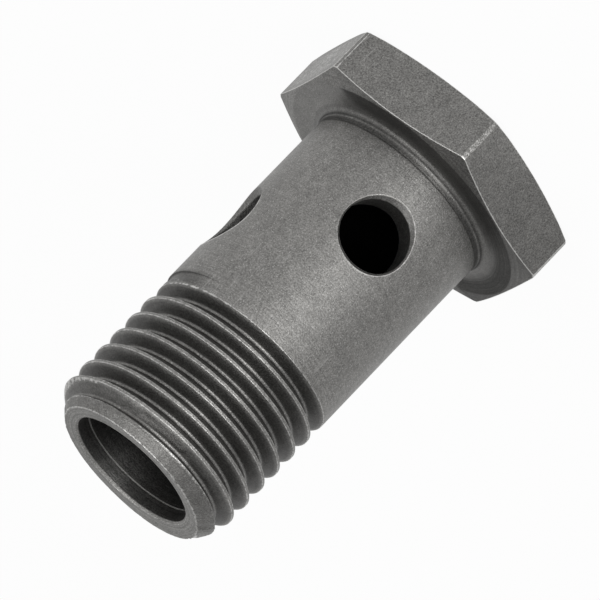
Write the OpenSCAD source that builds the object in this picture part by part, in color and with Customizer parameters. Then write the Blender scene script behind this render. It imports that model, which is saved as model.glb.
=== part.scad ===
// Hollow bolt for a banjo fitting. It stands on its hexagon head, with the axis on Z and the threaded tip up.
// The lower cross hole opens towards +X, in line with one corner of the hexagon.

/* [Head] */
// Width of the hexagon across its flats
head_af = 19; // [17:0.5:24]
// Height of the hexagon, from its top face to the sealing face
head_h = 4.1; // [3:0.1:8]
// Width of the narrow strip turned on each corner
corner_w = 0.35; // [0.1:0.05:1]
// Slope of the chamfer on the top of the head, in degrees
top_slope = 12; // [5:1:35]
// Slope of the chamfer on the sealing side, in degrees
seat_slope = 15.5; // [5:0.5:35]
// How far inside the flats the sealing face's chamfer starts
seat_inset = 0.15; // [0:0.05:0.6]

/* [Shank] */
// Diameter of the plain shank, and of the thread over its crests
shank_d = 13.8; // [12.6:0.1:15]
// Length from the sealing face to the tip
shank_l = 26.8; // [24:0.1:40]
// Radius of the fillet between the shank and the sealing face
fillet_r = 0.6; // [0.2:0.1:1]
// Plain length between the fillet and the fine line turned round the shank
line_gap = 0.14; // [0.1:0.02:0.5]
// Depth of that line
line_depth = 0.05; // [0.02:0.01:0.2]
// Width of the 45 degree chamfer at the tip
tip_chamfer = 1.4; // [0.5:0.1:1.8]

/* [Thread] */
// Pitch of the right-hand thread
pitch = 1.5; // [1:0.25:1.75]
// Length of the thread, from the tip to where the groove has faded out
thread_l = 11.45; // [6:0.25:12]
// Angle over which the groove fades out, in degrees
fade_angle = 240; // [90:10:360]
// Direction in which the groove ends, in degrees from the lower cross hole
fade_turn = 36; // [0:1:360]

/* [Bore] */
// Diameter of the bore along the axis
bore_d = 9; // [6:0.1:9.8]
// How far the full bore runs past the edge of the lower cross hole
bore_past = 0.5; // [0:0.1:1.5]
// Angle of the drill point at the end of the bore, in degrees
drill_angle = 118; // [90:1:140]
// How much wider the mouth of the bore is
mouth_step = 0.2; // [0.1:0.05:0.5]
// Depth of the wider mouth
mouth_l = 1.15; // [0.5:0.05:4]
// Width of the broken edge round the mouth
mouth_break = 0.15; // [0.05:0.05:0.4]

/* [Cross holes] */
// Diameter of both cross holes
port_d = 4.9; // [3:0.1:6]
// Width of the countersink round each cross hole
port_sink = 0.3; // [0.1:0.05:0.7]
// Height of the lower hole's centre above the sealing face
lower_port_h = 6; // [5:0.1:9]
// Distance along the axis from the lower hole to the upper one
port_rise = 3.9; // [0:0.1:5]
// Angle from the lower hole to the upper one, counterclockwise seen from the tip
port_turn = 90; // [70:5:290]

/* [Hidden] */
$fn = 96;

steel = [0.43, 0.42, 0.41];
overlap = 1;
sliver = 0.01;

// Heights above the head's top face, on which the bolt stands
seat_z = head_h;
tip_z = seat_z + shank_l;
lower_port_z = seat_z + lower_port_h;
upper_port_z = lower_port_z + port_rise;
line_z = seat_z + fillet_r + line_gap;
bore_end_z = lower_port_z - port_d / 2 - bore_past;
fade_z = tip_z - thread_l;

// Distances from the axis
flat_r = head_af / 2;
hex_r = flat_r / cos(30);
corner_r = hex_r - corner_w / 2 / tan(60);
seat_r = flat_r - seat_inset;
shank_r = shank_d / 2;
bore_r = bore_d / 2;
mouth_r = bore_r + mouth_step / 2;
port_r = port_d / 2;
port_sink_x = shank_r - port_sink;

// Form of the thread: 60 degrees between its flanks, with a narrow flat at its root
flank = 30;
thread_depth = 0.6134 * pitch;
root_half_w = pitch / 12;
overcut = 0.06 * pitch;
faded_depth = 0.02;
steps = 36;

function drop(r_in, slope) = (corner_r - r_in) * tan(slope);

// Depth of the groove at an angle past the point where it starts
function groove_depth(angle) = max(faded_depth, thread_depth * min(1, angle / fade_angle));

// Section of the groove, as distances out from the crests and up along the axis
function groove_section(depth) =
    let (lip = root_half_w + (overcut + depth) * tan(flank))
        [[overcut, lip], [-depth, root_half_w], [-depth, -root_half_w], [overcut, -lip]];

// The same section, turned and raised to its place on the helix
function groove_ring(angle) = [
    for (p = groove_section(groove_depth(angle)))
        let (r = shank_r + p[0], a = fade_turn + angle)
            [r * cos(a), r * sin(a), fade_z + pitch * angle / 360 + p[1]]
];

// Triangles of a tube through rings of points, closed at both ends
function tube_faces(rings, points) = concat(
    [[for (p = [points - 1:-1:0]) p]],
    [
        for (i = [0:rings - 2], p = [0:points - 1])
            let (q = (p + 1) % points, low = i * points, high = low + points)
                each [[low + p, low + q, high + p], [low + q, high + q, high + p]]
    ],
    [[for (p = [0:points - 1]) (rings - 1) * points + p]]
);

module head() {
    intersection() {
        cylinder(r = hex_r, h = head_h, $fn = 6);
        rotate_extrude()
            polygon([
                [0, 0],
                [flat_r, 0],
                [corner_r, drop(flat_r, top_slope)],
                [corner_r, seat_z - drop(seat_r, seat_slope)],
                [seat_r, seat_z],
                [0, seat_z]
            ]);
    }
}

module shank_profile() {
    polygon([
        [0, seat_z - overlap],
        [shank_r, seat_z - overlap],
        [shank_r, tip_z - tip_chamfer],
        [shank_r - tip_chamfer, tip_z],
        [0, tip_z]
    ]);
}

module fillet_profile() {
    difference() {
        translate([shank_r - overlap, seat_z - overlap])
            square([fillet_r + overlap, fillet_r + overlap]);
        translate([shank_r + fillet_r, seat_z + fillet_r])
            circle(r = fillet_r);
    }
}

module turned_line_profile() {
    half_w = line_depth + sliver;
    polygon([
        [shank_r - line_depth, line_z],
        [shank_r + sliver, line_z - half_w],
        [shank_r + sliver, line_z + half_w]
    ]);
}

module shank() {
    rotate_extrude() {
        difference() {
            union() {
                shank_profile();
                fillet_profile();
            }
            turned_line_profile();
        }
    }
}

module thread_groove() {
    turns = (thread_l + pitch) / pitch;
    rings = ceil(turns * steps) + 1;
    polyhedron(
        points = [for (i = [0:rings - 1]) each groove_ring(i * 360 / steps)],
        faces = tube_faces(rings, len(groove_section(thread_depth)))
    );
}

module bore() {
    rotate_extrude()
        polygon([
            [0, bore_end_z - bore_r / tan(drill_angle / 2)],
            [bore_r, bore_end_z],
            [bore_r, tip_z - mouth_l],
            [mouth_r, tip_z - mouth_l],
            [mouth_r, tip_z - mouth_break],
            [mouth_r + mouth_break + overlap, tip_z + overlap],
            [0, tip_z + overlap]
        ]);
}

module port(z, turn) {
    translate([0, 0, z])
        rotate([0, 0, turn])
            rotate([0, 90, 0]) {
                cylinder(r = port_r, h = shank_r + overlap);
                translate([0, 0, port_sink_x])
                    cylinder(r1 = port_r, r2 = port_r + overlap, h = overlap);
            }
}

module banjo_bolt() {
    color(steel)
        difference() {
            union() {
                head();
                shank();
            }
            thread_groove();
            bore();
            port(lower_port_z, 0);
            port(upper_port_z, port_turn);
        }
}

banjo_bolt();
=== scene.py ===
import bpy
import numpy as np
from mathutils import Matrix

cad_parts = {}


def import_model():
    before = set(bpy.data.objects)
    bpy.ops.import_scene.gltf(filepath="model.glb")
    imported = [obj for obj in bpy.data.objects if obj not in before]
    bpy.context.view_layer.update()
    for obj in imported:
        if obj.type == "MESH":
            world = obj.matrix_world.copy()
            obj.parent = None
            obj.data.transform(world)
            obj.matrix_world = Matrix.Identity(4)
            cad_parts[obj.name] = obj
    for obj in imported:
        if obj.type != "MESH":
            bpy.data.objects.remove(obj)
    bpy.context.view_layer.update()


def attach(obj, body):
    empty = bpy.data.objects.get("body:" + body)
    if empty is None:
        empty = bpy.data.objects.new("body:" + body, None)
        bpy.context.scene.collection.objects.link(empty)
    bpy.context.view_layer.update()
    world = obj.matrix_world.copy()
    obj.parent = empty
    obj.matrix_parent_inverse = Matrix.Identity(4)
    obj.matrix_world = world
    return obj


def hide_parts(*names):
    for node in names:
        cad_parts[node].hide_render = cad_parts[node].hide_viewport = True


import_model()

# Sizes of the bolt as in the part's source, in millimetres and degrees. The bolt stands on its head: radii
# are from its axis, and heights are from the head's top face.
FLAT = 9.5  # radius of the hexagon's flats
CORNER = 10.869  # radius of its turned corners
HEAD = 4.1  # height of the sealing face
TOP_EDGE = 9.4  # radius where the top's chamfer begins
TOP_SLOPE = 12
SEAT_EDGE = 9.35  # radius where the sealing face's chamfer begins
SEAT_SLOPE = 15.5
SHANK = 6.9
FILLET = 0.6
PITCH = 1.5
THREAD_START = 19.45  # height at which the groove begins
THREAD_TURN = 36  # side of the shank on which it begins
GROOVE = 0.92  # depth of the full groove
ROOT = 0.125  # half the width of its flat root
FLANK = 30
FADE = 240  # turn over which the groove grows
CHAMFER = 29.5  # height at which the tip's chamfer begins
TIP = 30.9
BORE = 4.5
MOUTH = 4.6  # radius of the bore's widened mouth
STEP = 29.75  # height of the mouth's floor
BORE_END = 7.15
DRILL = 59  # half the angle of the drill point
PORT = 2.45  # radius of a cross hole
LOW_PORT = 10.1
HIGH_PORT = 14.0

# Sizes of the skin alone
LINE = HEAD + FILLET + 0.14  # height of the fine turned line in the shank
LIP = TIP - 0.04  # height at which the chamfer ends in the end face's worn edge
MOUTH_EDGE = MOUTH + 0.15  # outer radius of the small chamfer at the mouth
FRONT = 7.7  # side from which places on the tip are measured, about the camera's
BROKEN = 0.12  # least width of a cross hole's broken edge
BROKEN_HEADWARD = 0.24  # what is added to it towards the head
BROKEN_TIPWARD = 0.07  # what is added to it towards the tip
TEAR = 383  # turn of the thread at which its lower lip is torn

# Grid of the skin. Column 0 is at the seam, on the middle of a flat. A cross hole is set into a patch of
# cells, and the two holes are a whole number of rows apart, in the shank and in the bore.
COLUMNS = 240
PER_FLAT = COLUMNS // 6
SEAM = 210
LOW_COLUMN = (360 - SEAM) * COLUMNS // 360  # the column at +X
HIGH_COLUMN = (450 - SEAM) * COLUMNS // 360  # the column at +Y
PATCH = 28  # columns from the middle of a patch to its side
PATCH_ROWS = 24
OUT_STEPS = 15  # rows of the shank between the holes
IN_STEPS = 17  # rows of the bore between the holes
OUT_ROW = (HIGH_PORT - LOW_PORT) / OUT_STEPS
IN_ROW = (HIGH_PORT - LOW_PORT) / IN_STEPS

# Marks of the skin, each from 0 for none. Wear is full at 1.
# the fullest painted shade, deep in the bore and the holes
FULL_SHADE = 2  # almost black
LATHED = 1  # turning marks as the lathe leaves them
PLAIN = 0.3  # turning marks on surfaces that were turned and then blasted

# Rows of the thread over one pitch, by their distance from the middle of the groove
TURNS = 9
HALF_PITCH = PITCH / 2
LIP_ROW = 0.656  # rows further out than this lie on the crest
ROW_STEPS = (HALF_PITCH, 0.70, 0.665, 0.64, 0.60, 0.50, 0.33, 0.21, 0.14, 0.08)

# Painted shade on the flats and on the sealing face's rim, darker on some sides: side and depth of the
# painted shade
FLAT_SHADE = ((-180, 0.3), (-120, 0.3), (-75, 0.55), (-60, 0.5), (-15, 0.5), (0, 0.35), (30, 0.33),
             (57, 0.33), (63, 0), (110, 0), (130, 0.33), (180, 0.3))
RIM_SHADE = ((-180, 0.2), (-125, 1.3), (-100, 1.2), (-85, 0.85), (-75, 0.75), (-40, 0.85), (20, 0.6),
            (100, 0.1), (140, 0.2))
# Turned lines in the fillet: height over the sealing face, painted shade and wear, which at the light lines
# is a painted highlight
FILLET_LINES = ((0, 0.6, 0), (0.03, 0.6, 0), (0.06, 0.6, 0), (0.1, 0.5, 0.2), (0.14, 0.7, 0.1),
                (0.19, 1, 0), (0.24, 1.35, 0), (0.29, 1.35, 0), (0.33, 1, 0.25), (0.37, 0.75, 0.52),
                (0.41, 0.9, 0.25), (0.46, 1.05, 0), (0.53, 1.05, 0), (FILLET, 1.1, 0))
# The fine turned line in the shank: height from its middle, depth, wear and painted shade, which paints the
# line's shadow
LINE_ROWS = ((-0.11, 0, 0, 1.2), (-0.075, 0.008, 0, 1.25), (-0.03, 0.02, 0, 1.1), (0.01, 0.015, 0, 0.9),
             (0.06, 0.002, 0.1, 0.5))
# Outer edge of the end face: side from the front and radius
END_EDGE = ((-180, 5.77), (-165, 5.9), (-145, 6.03), (-125, 6.06), (-108, 6.02), (-90, 5.8), (-70, 5.56),
            (-50, 5.46), (-32, 5.46), (0, 5.52), (45, 5.58), (90, 5.6), (135, 5.66), (180, 5.77))
# Finish across the groove: distance from its middle and wear, or painted shade
CREST_WEAR = ((0, 0.5), (0.08, 0.35), (0.14, 0), (0.33, 0), (0.6, 0.1), (0.64, 1), (0.67, 0.9), (0.7, 0.4),
              (0.75, 0.3))
ROOT_SHADE = ((0, 0.3), (0.08, 0.45), (0.14, 1))
YOUNG_SHADE = ((0.2, 0), (0.33, 1.3), (0.64, 1.1), (0.7, 0))
# The upper part of the bore: height and painted shade, which grows deeper in
BORE_SHADE = ((29.2, 1), (28.2, 1.1), (26.5, 1.4), (24.5, 1.8), (22.5, 2), (20.5, 2), (18.8, 2), (17.5, 2))
# Rings down the broken edge of a cross hole: share of the way and wear
EDGE_RINGS = ((0.2, 0.6), (0.5, 0.2), (0.85, 0.1), (1, 0.3))
# Rings through its wall: share of the way, painted shade and wear
WALL_RINGS = ((0.04, 0, 0.5), (0.2, 0, 1), (0.45, 0, 1), (0.7, 0, 0.85), (0.93, 0.2, 0.65), (1, 1.4, 0))

# Colours of the bare metal and of the rubbed metal, which also paints highlights
BARE = (0.250, 0.246, 0.237)
RUBBED_AND_HIGHLIT = (0.6, 0.595, 0.58, 1)

# Camera of the photograph: the side on which it stands, how high it stands over the place that it looks at
# and how far it is rolled, in degrees, and that place, its distance and the lens in millimetres
CAMERA_SIDE = 7.5627
CAMERA_RISE = 19.5219
CAMERA_ROLL = 223.9559
AIM = (-4.4939, -0.8194, 12.8697)
CAMERA_AWAY = 523.8783
LENS = 480
SENSOR = 36

# Lamps: place and size in metres, and power in watts
LAMPS = {"front": ((0.6, -0.06, 0.14), 0.34, 1.9), "top": ((0.1, 0.1, 0.8), 0.5, 1.5)}
LIT = (0, 0, 0.012)  # the middle of the bolt, at which they look

# Angles of the columns, even all round
even = np.radians(SEAM + 360 * np.arange(COLUMNS) / COLUMNS)


def facing(azimuth, front=0.0):
    """Side of the bolt in degrees from a front: the angle less the front, brought between -180 and 180."""
    return (np.degrees(azimuth) - front + 180) % 360 - 180


def near(value, width):
    """One at zero, falling in a straight line to nothing at the given width on both sides."""
    return np.clip(1 - np.abs(value) / width, 0, 1)


def ease(value, low, high):
    """Smooth step from zero at low to one at high: three times the way's square less twice its cube."""
    way = np.clip((value - low) / (high - low), 0, 1)
    return way * way * (3 - 2 * way)


def along(value, table):
    """Value read from a table of pairs, in straight lines between them."""
    places, results = zip(*table)
    return np.interp(value, places, results)


def chips(azimuth, counts, shift, fall=0.0):
    """Sum of sine waves round the bolt, one for each count of waves. A wave is moved along by the shift
    times its count, and divided by one more than the fall times its count."""
    return sum(np.sin(count * azimuth + shift * count) / (1 + fall * count) for count in counts)


class Skin:
    """Points of the skin with their wear and painted highlights, painted shade and turning, and the
    triangles between them.
    """

    def __init__(self):
        self.points = []
        self.marks = []
        self.faces = []
        self.count = 0

    def add(self, x, y, z, wear_and_highlight, shade_mark, turned):
        """Stores a grid of points and gives back their numbers in the same grid."""
        shape = np.broadcast(x, y, z).shape
        place = [np.broadcast_to(v, shape).reshape(-1) for v in (x, y, z)]
        marks = [np.broadcast_to(v, shape).reshape(-1) for v in (wear_and_highlight, shade_mark, turned)]
        self.points.append(np.stack(place, 1))
        self.marks.append(np.stack(marks, 1))
        numbers = self.count + np.arange(np.prod(shape)).reshape(shape)
        self.count += numbers.size
        return numbers

    def cells(self, numbers, keep=None):
        """Two triangles for every cell of a grid of point numbers that is kept."""
        a = numbers[:-1, :-1]
        b = numbers[:-1, 1:]
        c = numbers[1:, 1:]
        d = numbers[1:, :-1]
        faces = np.stack([np.stack([a, b, c], -1), np.stack([a, c, d], -1)], 2)
        if keep is not None:
            faces = faces[keep]
        self.take(faces.reshape(-1, 3))

    def take(self, faces):
        """Keeps the triangles that have three different points."""
        whole = (faces[:, 0] != faces[:, 1]) & (faces[:, 1] != faces[:, 2]) & (faces[:, 0] != faces[:, 2])
        self.faces.append(faces[whole])

    def cap(self, ring, height, shade_mark, below):
        """A fan from a point on the axis to a closed ring, seen from below or from above."""
        middle = self.add(np.zeros(1), np.zeros(1), np.full(1, height), 0, shade_mark, LATHED)[0]
        fan = np.stack([np.full(len(ring), middle), ring, np.roll(ring, -1)], 1)
        self.take(fan[:, ::-1] if below else fan)


def closed(numbers):
    """The same grid with its first column repeated at the end."""
    return np.concatenate([numbers, numbers[:, :1]], 1)


def row(radius, height, share=0, wear_and_highlight=0, shade_mark=0, turned=0):
    """One row for all columns: radius, height, share of the hexagon's own angles, wear and painted
    highlight, painted shade, turning.
    """
    return [np.ones(COLUMNS) * v for v in (radius, height, share, wear_and_highlight, shade_mark, turned)]


def place(rows, skin):
    """Puts rows on the skin. A column's angle lies between the even one and the hexagon's own by the row's
    share, and the point is the radius times the cosine and sine of that angle."""
    radius, height, share, wear_and_highlight, shade_mark, turned = np.array(rows).transpose(1, 0, 2)
    own, _, _ = hexagon()
    angle = even + share * (own - even)
    return skin.add(radius * np.cos(angle), radius * np.sin(angle), height, wear_and_highlight, shade_mark, turned)


def half_flat():
    """Angles from the middle of a flat to its corner: the arc tangent of the distance along the flat over
    the flat's radius, close together where the corner's narrow strip begins, and three more across the
    turned corner."""
    across = np.concatenate([np.linspace(0, 4.9, 13), [5.06, 5.15, 5.21, 5.25, 5.281]])
    return np.concatenate([np.degrees(np.arctan(across / FLAT)), [29.25, 29.6, 30]])


def hexagon():
    """Angle and radius of the head's outline in each column, and the angle from the middle of its flat. The
    radius is the flat's own over the cosine of that angle, and at most that of the turned corners."""
    step = np.arange(COLUMNS)
    sector = (step + PER_FLAT // 2) // PER_FLAT
    local = step - PER_FLAT * sector
    turn = np.sign(local) * half_flat()[np.abs(local)]
    outline = np.minimum(FLAT / np.cos(np.radians(turn)), CORNER)
    return np.radians(SEAM + 60 * sector + turn), outline, turn


def head_rows():
    """Rows from the middle of the head's top face over its chamfer and down the flats. The chamfer's height
    is its width outside the top's edge times the tangent of its slope, and the flats end where the sealing
    face's chamfer, found in the same way, meets the outline. Near the corners the top rim is rounded."""
    _, outline, turn = hexagon()
    side = facing(even)
    # the corners at 0 and -60 degrees have a narrow rubbed strip, the others a rubbed line on both sides
    strip = np.where(side < -15, 1.0, 0.62) * ease(np.abs(turn), 28.8, 29.3)
    lines = 1.3 * near(np.abs(turn) - 29.1, 0.5)
    corner = np.where((np.abs(side) < 15) | (np.abs(side + 60) < 15), strip, lines)
    # one flat is painted brighter: a painted highlight where it catches the light
    highlight_side = 88
    wear_and_flat_highlight = np.maximum(corner, 0.68 * near(side - highlight_side, 32) ** 0.3)
    # painted shade, darker on some sides of the head
    painted_shade = along(side, FLAT_SHADE)
    round_off = ease(np.abs(turn), 22, 29)

    slope = np.tan(np.radians(TOP_SLOPE))
    band = outline - TOP_EDGE
    top = band * slope
    low = HEAD - (outline - SEAT_EDGE) * np.tan(np.radians(SEAT_SLOPE))
    near_rim = outline - np.minimum(0.05 + 0.12 * round_off, 0.35 * band)
    rows = [row(radius, 0, 1, turned=LATHED) for radius in (1.5, 4, 7, 9, 9.3)]
    rows += [
        row(TOP_EDGE, 0, 1, 0.8, turned=LATHED),
        row(TOP_EDGE + 0.5 * band, 0.5 * band * slope, 1, 0.1, turned=LATHED),
        row(near_rim, (near_rim - TOP_EDGE) * slope, 1, 0.6 * (1 - round_off), turned=0.5),
        row(outline - 0.05 * round_off, top + 0.02 * round_off, 1, 1.3),
        row(outline - 0.012 * round_off, top + 0.05 + 0.03 * round_off, 1, np.maximum(0.5, corner), painted_shade),
        row(outline, top + 0.14 + 0.03 * round_off, 1, np.maximum(0.1, corner), painted_shade),
    ]
    for share in (0.12, 0.3, 0.5, 0.7, 0.88):
        rows.append(row(outline, top + 0.17 + share * (low - top - 0.31), 1, wear_and_flat_highlight, painted_shade))
    rows += [
        row(outline, low - 0.14, 1, np.maximum(0.1, 1.3 * corner), painted_shade),
        row(outline, low - 0.05, 1, np.maximum(0.7, 2 * corner), painted_shade),
        row(outline, low, 1, 1.7),
    ]
    return rows


def seat_rows():
    """Rows from the rim of the sealing face to the end of the fillet. The chamfer falls outwards by its
    width times the tangent of its slope. The fillet is a quarter circle: its angle is the arc cosine of one
    less the height over its radius."""
    _, outline, _ = hexagon()
    slope = np.tan(np.radians(SEAT_SLOPE))
    band = outline - SEAT_EDGE
    near_rim = outline - 0.05
    # painted shade is thick on one side and fades towards the fillet, and the turned lines are faint on
    # another
    shaded_side = np.radians(-37)
    faint_side = np.radians(110)
    rim_shade = along(facing(even), RIM_SHADE)
    painted_shade = 0.25 + 1.05 * ease(np.cos(even - shaded_side), -0.45, 0.14)
    painted_shade = painted_shade + 0.05 * near(facing(even) + 95, 60)
    lined = 1 - 0.75 * ease(np.cos(even - faint_side), -0.1, 0.5)
    rows = [
        row(near_rim, HEAD - (near_rim - SEAT_EDGE) * slope, 1, 0.5, rim_shade, 0.3),
        row(SEAT_EDGE + 0.5 * band, HEAD - 0.5 * band * slope, 1, 0, rim_shade, 0.6),
        row(SEAT_EDGE + 0.03, HEAD - 0.03 * slope, 1, 0.12, rim_shade, lined),
        row(SEAT_EDGE - 0.03, HEAD, 1, 0.05, painted_shade, lined),
    ]
    for radius in (9.2, 9.0, 8.8, 8.5, 8.2, 7.95, 7.75, 7.6):
        faded = painted_shade - 0.5 * painted_shade * ease(-radius, -8.3, -7.5)
        rows.append(row(radius, HEAD, ease(radius, 7.6, 9.3), 0, faded, lined))
    for height, shade_mark, wear_and_highlight in FILLET_LINES:
        angle = np.arccos(1 - height / FILLET)
        rows.append(row(SHANK + FILLET - FILLET * np.sin(angle), HEAD + height, 0, wear_and_highlight, shade_mark, LATHED))
    return rows


def shank_rows():
    """Rows of the plain shank, a cylinder: the fine turned line, then level rows at even steps, in which
    the cross holes' patches are cut. Also gives the number of rows before the first patch."""
    rows = [row(SHANK - depth, LINE + rise, 0, wear_and_highlight, shade_mark, LATHED) for rise, depth, wear_and_highlight, shade_mark in LINE_ROWS]
    rows.append(row(SHANK, LINE + 0.13, 0, 0.05, 0.2, PLAIN))
    rows += [row(SHANK, height, turned=PLAIN) for height in (5.3, 5.8, 6.4)]
    first = len(rows)
    for step in range(PATCH_ROWS + OUT_STEPS + 3):
        rows.append(row(SHANK, LOW_PORT + OUT_ROW * (step - PATCH_ROWS // 2), turned=PLAIN))
    return rows, first


def end_edge(azimuth):
    """Radius of the end face's outer edge: about round, with a low bulge where the last ridge of the thread
    runs into it, and small chips added as sine waves, deeper on two sides."""
    side = facing(azimuth, FRONT)
    ragged = 0.008 + 0.026 * near(side + 85, 40) + 0.012 * near(side - 90, 50)
    return along(side, END_EDGE) + ragged * chips(azimuth, (23, 37, 52, 71, 89, 103), 1.7, 0.01)


def end_rows():
    """Rows from the tip's edge over the end face, down the mouth and the bore, which are cylinders, to the
    drill point, a cone whose height is the radius lost over the tangent of half its angle. Also gives the
    number of rows before the first patch."""
    edge = end_edge(even)
    inner_edge = edge - 0.14
    rows = [
        row(edge, TIP, 0, 0.85, 0, LATHED),
        row(edge - 0.05, TIP, 0, 0.5, 0, LATHED),
        row(inner_edge, TIP, 0, 0.1, 0, LATHED),
    ]
    for share in (0.25, 0.5, 0.75):
        rows.append(row(inner_edge + share * (MOUTH_EDGE + 0.3 - edge), TIP, turned=LATHED))
    rows += [
        row(MOUTH_EDGE + 0.06, TIP, 0, 0.2, 0, LATHED),
        row(MOUTH_EDGE, TIP - 0.005, 0, 0.8, 0, LATHED),
        row(MOUTH_EDGE - 0.04, TIP - 0.045, 0, 0.3, 0, LATHED),
        row(MOUTH + 0.03, STEP + 1.03, 0, 0.1, 0, LATHED),
        row(MOUTH, STEP + 0.99, 0, 0.3, 0.5, LATHED),
        row(MOUTH, STEP + 0.93, 0, 0, 0.9, LATHED),
        row(MOUTH, STEP + 0.5, 0, 0, 1, LATHED),
        row(MOUTH, STEP + 0.05, 0, 0, 1, LATHED),
        row(MOUTH, STEP, 0, 0, 1, LATHED),
        row(BORE + 0.015, STEP, 0, 0.42, 0.5, LATHED),
        row(BORE, STEP - 0.015, 0, 0.42, 0.7, LATHED),
        row(BORE, STEP - 0.06, 0, 0, 1, LATHED),
    ]
    rows += [row(BORE, height, 0, 0, shade_mark, LATHED) for height, shade_mark in BORE_SHADE]
    first = len(rows)
    for step in range(PATCH_ROWS + IN_STEPS + 1):
        rows.append(row(BORE, HIGH_PORT + IN_ROW * (PATCH_ROWS // 2 - step), 0, 0, FULL_SHADE, LATHED))
    rows.append(row(BORE, BORE_END, 0, 0, FULL_SHADE, LATHED))
    slope = np.tan(np.radians(DRILL))
    for radius in (4.3, 3.2, 2, 0.9):
        rows.append(row(radius, BORE_END - (BORE - radius) / slope, 0, 0, FULL_SHADE, LATHED))
    return rows, first


class Thread:
    """The thread as rows that follow its helix. A row stays at one distance from the middle of the groove,
    and each column stands a pitch over the number of columns higher than the one before. The distance is
    positive above the middle, and the angle is how far the helix has turned since the groove's start."""

    def __init__(self):
        steps = np.array(ROW_STEPS)
        away = np.concatenate([-steps, [0], steps[:0:-1]])
        self.per_turn = len(away)
        self.away = np.tile(away, TURNS)[:, None]
        self.size = np.abs(self.away)
        turn = np.repeat(np.arange(TURNS), self.per_turn)[:, None]
        part = np.arange(COLUMNS)[None, :] / COLUMNS
        start = THREAD_START + PITCH * (SEAM - 360 - THREAD_TURN) / 360
        self.middle = start + PITCH * (part + turn)
        self.angle = 360 * (self.middle - THREAD_START) / PITCH
        self.cut_groove()
        self.cut_chamfer()

    def cut_groove(self):
        """A flat root between two flanks: the cut is the groove's depth, less the distance outside the root
        over the tangent of the flank. The depth grows in step with the angle from where the groove starts,
        and the rows spread with it."""
        flank = np.tan(np.radians(FLANK))
        above = self.away > 0
        depth = GROOVE * np.clip(self.angle / FADE, 0, 1)
        depth = depth * ease(self.angle, 0, 25) * (0.75 + 0.25 * ease(self.angle, 50, 150))
        root = ROOT + np.where(above, 0.28, 0) * (1 - ease(self.angle, 40, 170))
        before = root + 0.25 * np.clip(-self.angle / 90, 0, 1)
        spread = np.where(self.angle < 0, before, root + depth * flank)
        on_flank = root + (self.size - ROOT) * (spread - root) / (LIP_ROW - ROOT)
        inner = np.where(self.size > ROOT, on_flank, self.size * root / ROOT)
        outer = spread + (self.size - LIP_ROW) * (HALF_PITCH - spread) / (HALF_PITCH - LIP_ROW)
        offset = np.sign(self.away) * np.where(self.size < LIP_ROW, inner, outer)
        distance = np.abs(offset)
        cut = np.clip(depth - np.maximum(distance - root, 0) / flank, 0, None)
        # the corners of the root are filled a little
        cut = cut - 0.03 * near(distance - 0.14, 0.07) * ease(depth, 0, 0.3)
        # the ridge between the fading groove and its next turn is rubbed down
        beside = np.where(above, self.angle, self.angle - 360)
        on_ridge = (distance > ROOT) & (self.size > 0.3) & (above | (self.angle > 340))
        flat = 0.08 * ease(beside, 5, 25) * (1 - ease(beside, 60, 190)) * on_ridge
        flat = flat * (flat > cut)
        cut = np.maximum(cut, flat)
        # the groove's lower lip is torn a little after its first full turn
        self.torn = near(self.angle - TEAR, 42) * near(self.size - 0.665, 0.1) * (self.away < 0)
        self.teeth = np.clip(chips(even, (31, 47, 68, 97), 1.3), 0, 1.5)[None, :]
        cut = cut + 0.05 * self.torn * self.teeth
        self.depth = depth
        self.flat = flat
        self.height = self.middle + offset
        self.radius = SHANK - np.maximum(cut, 0)

    def cut_chamfer(self):
        """No point stands outside the tip's chamfer, a cone that goes in a straight line from the shank to
        the end face's edge. The row next to the edge of the chamfer is put on it, and no row stands over
        the lip. Past is how far outside the cone a point was, and below how deep it lies in the groove."""
        gap = np.abs(self.height - CHAMFER)
        on_edge = (gap == gap.min(axis=0)) & (gap < 0.08)
        height = np.where(on_edge, CHAMFER, self.height)
        self.height = np.minimum(height, LIP)
        edge = end_edge(even)[None, :] + 0.04
        cone = edge + (SHANK + 0.01 - edge) * (LIP - self.height) / (LIP - CHAMFER)
        cone = np.where(self.height < CHAMFER - 0.001, SHANK + 1, cone)
        self.past = self.radius - cone
        self.radius = np.minimum(self.radius, cone)
        self.below = np.minimum(SHANK, cone) - self.radius

    def wear_and_highlight(self):
        """The greatest of what rubs a place: crests, the chamfer's edges and the lips that it cuts, two
        rough sides of the tip, the torn lip, and the upper lip and flat ridge of the fading groove."""
        crest = ease(self.depth, 0.03, 0.25) * along(self.size, CREST_WEAR)
        crest = crest * (1 - ease(self.past, -0.01, 0.03))
        chamfer_edge = 0.75 * near(self.height - CHAMFER, 0.05) * (self.radius > SHANK - 0.1)
        wear_and_highlight = np.maximum(crest, chamfer_edge)
        wear_and_highlight = np.maximum(wear_and_highlight, near(self.height - LIP, 0.07))
        wear_and_highlight = np.maximum(wear_and_highlight, np.minimum(1.7 * near(self.past, 0.22), 1))
        side = facing(even, FRONT)
        rough = near(side - 110, 75) + 0.5 * near(side + 95, 30)
        wear_and_highlight = np.maximum(wear_and_highlight, 0.5 * rough * near(self.height - LIP, 0.45))
        wear_and_highlight = wear_and_highlight * (1 - self.torn) + 1.8 * self.torn * np.minimum(0.25 + self.teeth, 1)
        upper_lip = 0.9 * near(self.angle - 60, 60) * near(self.size - 0.66, 0.05) * (self.away > 0)
        wear_and_highlight = np.maximum(wear_and_highlight, upper_lip)
        return np.maximum(wear_and_highlight, 0.5 * (self.flat > 0.02))

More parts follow.
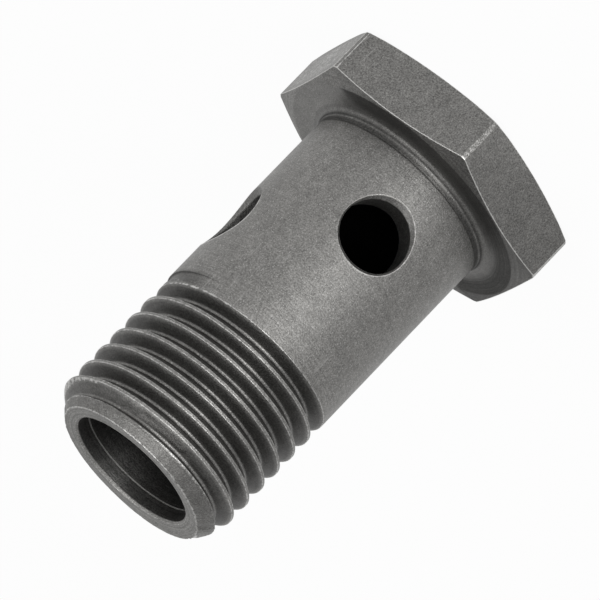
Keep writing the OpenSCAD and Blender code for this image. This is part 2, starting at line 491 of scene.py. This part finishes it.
    def painted_shade(self):
        """Painted shade, which deepens with the distance below the crests. It is weaker on the upper flank,
        thick where the groove is young, and even on the chamfer."""
        painted_shade = ease(self.below, 0.02, 0.3) * ease(self.depth, 0.0, 0.4) * along(self.size, ROOT_SHADE)
        painted_shade = painted_shade * np.where(self.away > 0.14, 0.6, 1)
        young = ease(self.angle, 5, 30) * (1 - ease(self.angle, 120, 220))
        painted_shade = np.maximum(painted_shade, 0.85 * young * ease(self.below, 0.015, 0.08))
        painted_shade = np.maximum(painted_shade, young * (self.away < 0) * along(self.size, YOUNG_SHADE))
        painted_shade = painted_shade * (1 - 0.15 * ease(self.height, CHAMFER, CHAMFER + 0.5))
        return np.maximum(painted_shade, 0.32 * ease(self.height, CHAMFER, CHAMFER + 0.1))

    def add(self, skin):
        """Puts the thread on the skin, joins its turns over the seam and gives its point numbers."""
        turned = 0.5 * np.ones_like(self.height)
        x = self.radius * np.cos(even)
        y = self.radius * np.sin(even)
        numbers = skin.add(x, y, self.height, self.wear_and_highlight(), self.painted_shade(), turned)
        # above the lip every row of a column is one point
        first = np.argmax(self.height >= LIP, axis=0)
        capped = np.minimum(np.arange(len(self.away))[:, None], first[None, :])
        numbers = numbers[capped, np.arange(COLUMNS)[None, :]]
        skin.cells(numbers)
        skin.cells(np.stack([numbers[:-self.per_turn, -1], numbers[self.per_turn:, 0]], 1))
        return numbers


def around(numbers, first_row, middle, upward):
    """Point numbers round a rectangular patch of a grid, counterclockwise seen from outside."""
    rows = np.arange(first_row, first_row + PATCH_ROWS + 1)
    if not upward:
        rows = rows[::-1]
    columns = np.arange(middle - PATCH, middle + PATCH + 1)
    block = numbers[rows[:, None], columns[None, :]]
    return np.concatenate([block[0, :-1], block[:-1, -1], block[-1, :0:-1], block[:0:-1, 0]])


def left_over(rows, patches):
    """Marks the cells of a grid that stay when rectangular patches are cut out. A patch is given by its
    first row and its middle column."""
    keep = np.ones((rows - 1, COLUMNS), bool)
    for first_row, middle in patches:
        keep[first_row:first_row + PATCH_ROWS, middle - PATCH:middle + PATCH] = False
    return keep


def turned_place(out, side, height, turn):
    """Turns a place from the direction of +X to the direction of a cross hole: the usual sums of the cosine
    and sine of the turn times the distances out and to the side."""
    c = np.cos(turn)
    s = np.sin(turn)
    return out * c - side * s, out * s + side * c, height


def ring_point(size, wall, angle, height, turn):
    """Points on a cylinder of radius wall round the bolt's axis, at a distance size from a cross hole's
    axis and at an angle round it. The distance out is the root of the wall's square less the square of the
    distance to the side."""
    side = size * np.cos(angle)
    out = np.sqrt(wall ** 2 - side ** 2)
    return turned_place(out, side, height + size * np.sin(angle), turn)


def angle_round(points, height, turn):
    """Angle of points round a cross hole's axis: the arc tangent of their height over it and their distance
    to its side."""
    side = points[:, 1] * np.cos(turn) - points[:, 0] * np.sin(turn)
    return np.arctan2(points[:, 2] - height, side)


def between(low, high, share, wall):
    """Points on a wall at a share of the way, in angle and height, from a ring to its patch's edge."""
    angle_low = np.arctan2(low[1], low[0])
    gap = (np.arctan2(high[:, 1], high[:, 0]) - angle_low + np.pi) % (2 * np.pi) - np.pi
    angle = angle_low + share * gap
    height = low[2] + share * (high[:, 2] - low[2])
    return wall * np.cos(angle), wall * np.sin(angle), height


def cross_hole(skin, outer, inner, height, turn, painted_shade, painted_glint):
    """A cross hole: rings from the edge of its patch in the shank over a broken edge, through the wall and
    into the bore. The rings are circles round the hole's axis that are laid on the shank and on the bore.
    Painted shade darkens its wall, and a painted glint widens the bright line at its rim."""
    points = np.concatenate(skin.points)
    rim_out = points[outer]
    rim_in = points[inner]
    angle = angle_round(rim_out, height, turn)
    angle_in = angle_round(rim_in, height, turn)
    angle_in = angle + (angle_in - angle + np.pi) % (2 * np.pi) - np.pi
    # the broken edge is wider towards the head and steeper towards the tip
    sink = PORT + BROKEN + np.where(angle < 0, BROKEN_HEADWARD, BROKEN_TIPWARD) * np.sin(angle) ** 2
    tipward = ease(np.sin(angle), -0.2, 0.5)
    bevel = 1.15 - 0.6 * tipward
    # the rim's bright line is a painted highlight, strongest on one side of the hole
    rim_highlight = 0.75 + 0.6 * np.cos(angle - np.radians(130))

    # from the edge of the patch inwards, on the shank
    base = ring_point(sink + 0.22, SHANK, angle, height, turn)
    rings = [outer]
    for share in (0.7, 0.35):
        rings.append(skin.add(*between(base, rim_out, share, SHANK), 0, 0, PLAIN))
    for gap, wear_and_highlight in ((0.22, 0.0), (0.12, 0.1 + painted_glint), (0.05, 0.6 + painted_glint), (0, 1)):
        rings.append(skin.add(*ring_point(sink + gap, SHANK, angle, height, turn), wear_and_highlight * rim_highlight, 0, PLAIN))

    # over the broken edge, with painted shade that is darker towards the tip
    top = np.sqrt(SHANK ** 2 - (sink * np.cos(angle)) ** 2)
    for share, wear_and_highlight in EDGE_RINGS:
        size = sink + share * (PORT - sink)
        out = top - share * (sink - PORT) * bevel
        at = turned_place(out, size * np.cos(angle), height + size * np.sin(angle), turn)
        rings.append(skin.add(*at, wear_and_highlight * rim_highlight * (1 - 0.7 * tipward), 0.35 + 0.55 * tipward, 0.6))

    # through the wall to the bore
    edge = top - (sink - PORT) * bevel
    for share, shade_mark, wear_and_highlight in WALL_RINGS:
        turned = angle + share * (angle_in - angle)
        inside = np.sqrt(BORE ** 2 - (PORT * np.cos(turned)) ** 2)
        out = edge + share * (inside - edge)
        at = turned_place(out, PORT * np.cos(turned), height + PORT * np.sin(turned), turn)
        rings.append(skin.add(*at, 0.6 * wear_and_highlight * (1 - painted_shade), np.maximum(shade_mark, painted_shade), LATHED))

    # on the bore to the edge of its patch
    base = ring_point(PORT + 0.06, BORE, angle_in, height, turn)
    rings.append(skin.add(*base, 0, FULL_SHADE, PLAIN))
    rings.append(skin.add(*between(base, rim_in, 0.5, BORE), 0, FULL_SHADE, PLAIN))
    rings.append(inner)
    skin.cells(closed(np.array(rings)))


def bolt_skin():
    """The whole bolt as one closed skin: rows from the middle of the head's top face to the bottom of the
    bore, with the thread in between and the two cross holes set in."""
    skin = Skin()
    head = head_rows() + seat_rows()
    shank, first = shank_rows()
    low = place(head + shank, skin)
    low_row = len(head) + first
    patches_out = ((low_row, LOW_COLUMN), (low_row + OUT_STEPS, HIGH_COLUMN))
    skin.cells(closed(low), left_over(len(low), patches_out))

    # the thread's first row climbs one pitch, and a fan from its last point fills that step at the seam
    thread = Thread()
    numbers = thread.add(skin)
    skin.cells(np.stack([low[-1], numbers[0]]))
    climb = np.concatenate([low[-1, -1:], low[-1, :1], numbers[:thread.per_turn + 1, 0]])
    skin.take(np.stack([np.full(len(climb) - 1, numbers[0, -1]), climb[:-1], climb[1:]], 1))

    end, first = end_rows()
    high = place(end, skin)
    patches_in = ((first + IN_STEPS, LOW_COLUMN), (first, HIGH_COLUMN))
    skin.cells(closed(high), left_over(len(high), patches_in))
    skin.cells(closed(np.stack([numbers[-1], high[0]])))
    skin.cap(low[0], 0, 0, True)
    skin.cap(high[-1], BORE_END - BORE / np.tan(np.radians(DRILL)), FULL_SHADE, False)

    # height, turn, painted shade and painted glint of each hole
    holes = ((LOW_PORT, 0.0, 0, 0), (HIGH_PORT, np.pi / 2, 0.95, 0.4))
    for patch_out, patch_in, hole in zip(patches_out, patches_in, holes):
        outer = around(low, *patch_out, True)
        inner = around(high, *patch_in, False)
        cross_hole(skin, outer, inner, *hole)
    return np.concatenate(skin.points), np.concatenate(skin.marks), np.concatenate(skin.faces)


def build(name, points, marks, faces):
    """Puts points in millimetres and triangles into a smooth mesh in metres, with its marks as attributes.
    Points that no triangle uses are left out."""
    used = np.unique(faces)
    renumber = np.full(len(points), -1)
    renumber[used] = np.arange(len(used))
    points = points[used] / 1000
    marks = marks[used]
    faces = renumber[faces]
    mesh = bpy.data.meshes.new(name)
    mesh.vertices.add(len(points))
    mesh.vertices.foreach_set("co", points.astype(np.float32).reshape(-1))
    mesh.loops.add(faces.size)
    mesh.loops.foreach_set("vertex_index", faces.astype(np.int32).reshape(-1))
    mesh.polygons.add(len(faces))
    mesh.polygons.foreach_set("loop_start", np.arange(0, faces.size, 3, dtype=np.int32))
    mesh.polygons.foreach_set("use_smooth", np.ones(len(faces), bool))
    mesh.update(calc_edges=True)
    mesh.validate()
    for column, mark in enumerate(("wear_and_highlight", "shade_mark", "turned")):
        layer = mesh.attributes.new(mark, "FLOAT", "POINT")
        layer.data.foreach_set("value", marks[:, column].astype(np.float32))
    return stand(name, mesh)


def stand(name, data):
    """An object of its own for a mesh, a lamp or a camera."""
    made = bpy.data.objects.new(name, data)
    bpy.context.scene.collection.objects.link(made)
    return made


def aimed(back, spot, roll=0.0):
    """Matrix of a camera or a lamp at a spot with its back to a direction. Its level side is square to +Z
    and to the back, and its level up is square to both. The roll turns them: the side is the cosine times
    the level side plus the sine times the level up, and the up is the cosine times the level up less the
    sine times the level side."""
    back = back / np.linalg.norm(back)
    level = np.cross([0, 0, 1.0], back)
    level /= np.linalg.norm(level)
    up = np.cross(back, level)
    c = np.cos(np.radians(roll))
    s = np.sin(np.radians(roll))
    matrix = np.eye(4)
    matrix[:3, 0] = c * level + s * up
    matrix[:3, 1] = c * up - s * level
    matrix[:3, 2] = back
    matrix[:3, 3] = spot
    return Matrix(matrix.tolist())


def camera():
    """Camera of the photograph. Its back has the direction of its side and rise, as on a globe, and it
    stands at its distance along that direction from the place that it looks at."""
    side = np.radians(CAMERA_SIDE)
    rise = np.radians(CAMERA_RISE)
    back = np.array([np.cos(rise) * np.cos(side), np.cos(rise) * np.sin(side), np.sin(rise)])
    spot = (np.array(AIM) + CAMERA_AWAY * back) / 1000
    lens = bpy.data.cameras.new("camera")
    lens.sensor_width = SENSOR
    lens.lens = LENS
    lens.clip_start = 0.01
    lens.clip_end = 20
    eye = stand("camera", lens)
    eye.matrix_world = aimed(back, spot, CAMERA_ROLL)
    bpy.context.scene.camera = eye


def lamp(name, spot, size, power):
    """A round soft lamp at a spot, with its back turned away from the middle of the bolt."""
    light = bpy.data.lights.new(name, "AREA")
    light.shape = "DISK"
    light.size = size
    light.energy = power
    stand(name, light).matrix_world = aimed(np.array(spot) - np.array(LIT), spot)


class Nodes:
    """Short calls that add a node and join its inputs."""

    def __init__(self, tree):
        self.tree = tree

    def add(self, kind, inputs=None, **settings):
        made = self.tree.nodes.new(kind)
        for name, value in settings.items():
            setattr(made, name, value)
        for name, value in (inputs or {}).items():
            self.feed(made.inputs[name], value)
        return made

    def feed(self, socket, value):
        if isinstance(value, bpy.types.NodeSocket):
            self.tree.links.new(value, socket)
        else:
            socket.default_value = value

    def math(self, operation, *values):
        made = self.add("ShaderNodeMath", operation=operation)
        for socket, value in zip(made.inputs, values):
            self.feed(socket, value)
        return made.outputs[0]

    def plus(self, a, b):
        return self.math("ADD", a, b)

    def times(self, a, b):
        return self.math("MULTIPLY", a, b)

    def most(self, a, b):
        return self.math("MAXIMUM", a, b)

    def ramp(self, value, low, high, to_low=0.0, to_high=1.0):
        """Straight line from one value at low to another at high, and level outside them."""
        inputs = {"Value": value, "From Min": low, "From Max": high, "To Min": to_low, "To Max": to_high}
        return self.add("ShaderNodeMapRange", inputs).outputs[0]

    def noise(self, vector, scale, detail, rough=0.5):
        inputs = {"Vector": vector, "Scale": scale, "Detail": detail, "Roughness": rough}
        return self.add("ShaderNodeTexNoise", inputs).outputs[0]

    def place(self, kind):
        return self.add("ShaderNodeTexCoord").outputs[kind]

    def split(self, vector):
        return self.add("ShaderNodeSeparateXYZ", {"Vector": vector}).outputs

    def mark(self, name):
        return self.add("ShaderNodeAttribute", attribute_name=name).outputs["Fac"]

    def mix(self, share, a, b):
        """Mix of two colours, which are inputs 6 and 7 of the node, and its output 2."""
        made = self.add("ShaderNodeMix", {0: share, 6: a, 7: b}, data_type="RGBA")
        return made.outputs[2]


def steel():
    """Blasted and handled steel. The tone of the bare metal is grain times clouding times blotches times
    turning lines, which show on the faces that were turned, times the painted shade in the grooves, the
    holes and the fillet and on some sides of the head. Rubbed edges with painted highlights, pits and faint
    scratches lie over it in a brighter metal."""
    made = bpy.data.materials.new("worn_steel")
    made.use_nodes = True
    shader = made.node_tree.nodes["Principled BSDF"]
    n = Nodes(made.node_tree)
    at = n.place("Object")
    x, y, z = n.split(at)
    wear_and_highlight = n.mark("wear_and_highlight")
    shade_mark = n.mark("shade_mark")
    turned = n.mark("turned")

    # patterns, from the finest to the coarsest, by their waves a metre, and rings that follow the radius on
    # faces and the height on walls
    specks = n.noise(at, 11000, 1, 0.5)
    grain = n.noise(at, 9500, 3, 0.65)
    rub = n.noise(at, 3300, 3, 0.7)
    blotch = n.noise(at, 1500, 3, 0.6)
    clouds = n.noise(at, 420, 4, 0.6)
    radius = n.math("SQRT", n.plus(n.times(x, x), n.times(y, y)))
    ring_inputs = {"W": n.plus(radius, z), "Scale": 6500, "Detail": 4}
    rings = n.add("ShaderNodeTexNoise", ring_inputs, noise_dimensions="1D").outputs[0]

    # tone of the bare metal
    strong = n.ramp(turned, 0.0, 0.3, 0.66, 0.54)
    tone = n.plus(n.times(n.ramp(grain, 0.25, 0.75, -1.0, 1.0), strong), 0.98)
    tone = n.times(tone, n.ramp(clouds, 0.3, 0.7, 0.94, 1.06))
    tone = n.times(tone, n.ramp(blotch, 0.3, 0.7, 0.88, 1.12))
    lines = n.math("SUBTRACT", n.ramp(rings, 0.3, 0.7, 0.8, 1.2), 1.0)
    tone = n.times(tone, n.plus(n.times(turned, lines), 1.0))
    painted_shade = n.times(n.ramp(shade_mark, 0.0, 1.0, 1.0, 0.5), n.ramp(shade_mark, 1.0, 2.0, 1.0, 0.04))
    tone = n.times(tone, painted_shade)
    base = n.add("ShaderNodeVectorMath", {0: BARE, "Scale": tone}, operation="SCALE").outputs[0]

    # rubbed edges and painted highlights, broken up by two of the patterns
    worn_and_highlit = n.plus(wear_and_highlight, n.times(n.math("SUBTRACT", rub, 0.5), 1.8))
    worn_and_highlit = n.plus(worn_and_highlit, n.times(n.math("SUBTRACT", grain, 0.5), 0.9))
    worn_and_highlit = n.times(n.ramp(worn_and_highlit, 0.62, 1.1), n.ramp(wear_and_highlight, 0.02, 0.25))

    # pits and scratches, which the painted shade hides
    pit = n.times(n.ramp(specks, 0.62, 0.74), n.ramp(shade_mark, 0.0, 0.8, 0.6, 0.0))
    bright = n.most(worn_and_highlit, pit)
    for turn, mask_scale in (((0.5, 0.9, 0.9), 350), ((1.3, 0.2, 2.4), 410)):
        drawn = n.add("ShaderNodeMapping", {"Vector": at, "Rotation": turn, "Scale": (1, 1, 0.04)})
        scratch = n.ramp(n.noise(drawn.outputs[0], 8000, 0), 0.77, 0.82)
        scratch = n.times(scratch, n.ramp(n.noise(at, mask_scale, 1), 0.56, 0.68, 0.0, 0.3))
        scratch = n.times(scratch, n.ramp(shade_mark, 0.3, 0.8, 1.0, 0.0))
        bright = n.most(bright, scratch)

    # rubbed places are smoother, and where the painted shade is thick the metal is dull
    rough = n.math("SUBTRACT", n.ramp(grain, 0.2, 0.8, 0.38, 0.52), n.times(worn_and_highlit, 0.1))
    rough = n.most(rough, n.ramp(shade_mark, 1.0, 2.0, 0.3, 0.95))
    relief = n.plus(grain, n.times(n.times(turned, rings), 0.4))
    relief = n.plus(relief, n.times(n.times(rub, wear_and_highlight), 0.8))
    bump = n.add("ShaderNodeBump", {"Height": relief, "Strength": 0.7, "Distance": 0.00003})

    n.feed(shader.inputs["Base Color"], n.mix(bright, base, RUBBED_AND_HIGHLIT))
    n.feed(shader.inputs["Metallic"], 1)
    n.feed(shader.inputs["Roughness"], rough)
    n.feed(shader.inputs["Specular Tint"], n.ramp(shade_mark, 0.8, 1.6, 1.0, 0.5))
    n.feed(shader.inputs["Normal"], bump.outputs[0])
    return made


def floor():
    """A plain pale floor. The camera sees it white, with a hint of the bolt's shadow. The bolt mirrors it at
    a level of one at most, by the angle round the bolt in radians: the greater of a shade, which grows with
    the way from its darkest angle, and of a sector, which falls with the way from its brightest one."""
    side = 4.0
    darkest = -1.2
    brightest = -0.2
    glow_share = 0.95
    mesh = bpy.data.meshes.new("floor")
    corners = [(-side, -side, 0), (side, -side, 0), (side, side, 0), (-side, side, 0)]
    mesh.from_pydata(corners, [], [(0, 1, 2, 3)])
    board = stand("floor", mesh)
    made = bpy.data.materials.new("pale_floor")
    made.use_nodes = True
    n = Nodes(made.node_tree)
    shader = made.node_tree.nodes["Principled BSDF"]
    shader.inputs["Base Color"].default_value = (0.9, 0.9, 0.9, 1)
    shader.inputs["Roughness"].default_value = 0.9
    shader.inputs["Specular IOR Level"].default_value = 0
    path = n.add("ShaderNodeLightPath").outputs
    x, y, _ = n.split(n.place("Object"))
    angle = n.math("ARCTAN2", y, x)
    shade = n.ramp(n.math("ABSOLUTE", n.plus(angle, -darkest)), 0.1, 1.0, 0.66, 0.85)
    sector = n.ramp(n.math("ABSOLUTE", n.plus(angle, -brightest)), 0.15, 0.5, 1.0, 0.5)
    level = n.most(path["Is Camera Ray"], n.most(shade, sector))
    share = n.times(n.most(path["Is Camera Ray"], path["Is Glossy Ray"]), glow_share)
    glow = n.add("ShaderNodeEmission", {"Strength": level})
    blend = n.add("ShaderNodeMixShader", {0: share, 1: shader.outputs[0], 2: glow.outputs[0]})
    n.feed(made.node_tree.nodes["Material Output"].inputs["Surface"], blend.outputs[0])
    mesh.materials.append(made)


def world():
    """Soft light of a pale studio. The camera sees it white. Elsewhere it is a pale grey that falls off
    upwards and towards -Y, and it lights less than it is mirrored."""
    made = bpy.data.worlds.new("studio")
    bpy.context.scene.world = made
    made.use_nodes = True
    n = Nodes(made.node_tree)
    back = made.node_tree.nodes["Background"]
    _, y, z = n.split(n.place("Generated"))
    path = n.add("ShaderNodeLightPath").outputs
    bright = n.times(n.ramp(z, 0.1, 0.9, 0.82, 0.62), n.ramp(y, -0.8, 0.8, 0.75, 1.0))
    bright = n.times(bright, n.ramp(path["Is Glossy Ray"], 0, 1, 0.7, 1.0))
    n.feed(back.inputs["Strength"], n.most(path["Is Camera Ray"], bright))
    n.feed(back.inputs["Color"], (1, 1, 1, 1))


camera()
floor()
world()
for name, (spot, size, power) in LAMPS.items():
    lamp(name, spot, size, power)

bolt = build("bolt_skin", *bolt_skin())
bolt.data.materials.append(steel())
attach(bolt, "root")
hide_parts("banjo_bolt")
bpy.context.scene.view_settings.view_transform = "Standard"
